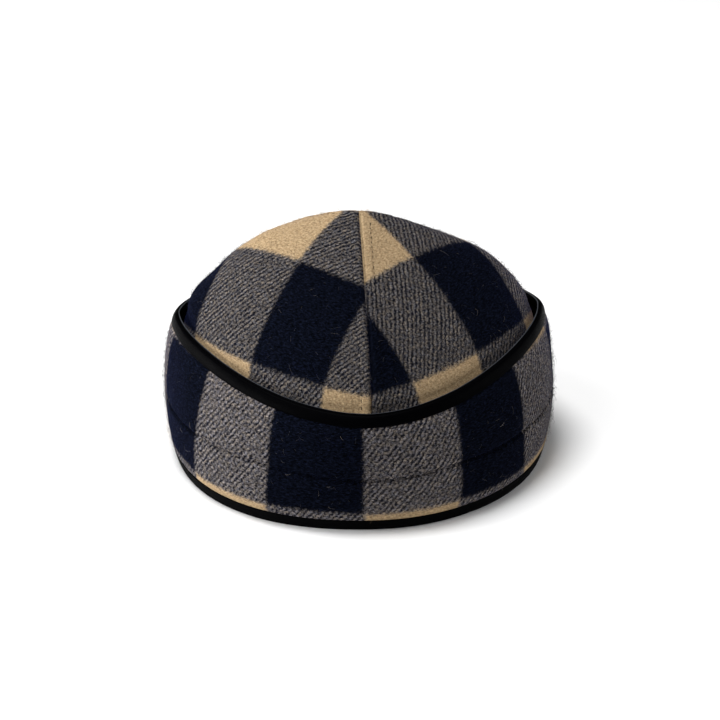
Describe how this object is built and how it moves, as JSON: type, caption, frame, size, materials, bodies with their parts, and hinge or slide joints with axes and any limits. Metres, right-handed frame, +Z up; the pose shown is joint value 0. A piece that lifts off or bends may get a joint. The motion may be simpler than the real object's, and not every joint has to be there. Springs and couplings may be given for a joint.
{
  "type": "railroad cap",
  "caption": "Soft plaid wool railroad cap with a domed crown of panels, a folded ear band standing round it, tape bindings and a short cloth peak.",
  "frame": {"origin": "on the surface the cap rests on, under the middle of the whole cap, peak included", "axes": "+Z up from the rim to the apex, +Y from the rear seam to the peak, +X to the wearer's right"},
  "size_m": [0.1922, 0.277, 0.1196],
  "materials": {
    "plaid_wool": "brushed twill wool in a large navy and tan check",
    "band_wool": "brushed twill wool in a large navy and tan check, folded double",
    "black_tape": "smooth folded binding tape, black"
  },
  "bodies": {
    "root": {"crown_rear_left": "plaid_wool", "crown_rear_right": "plaid_wool", "crown_front_left": "plaid_wool", "crown_front_right": "plaid_wool", "ear_band": "band_wool", "band_binding": "black_tape", "rim_binding": "black_tape", "peak": "plaid_wool"}
  },
  "joints": []
}
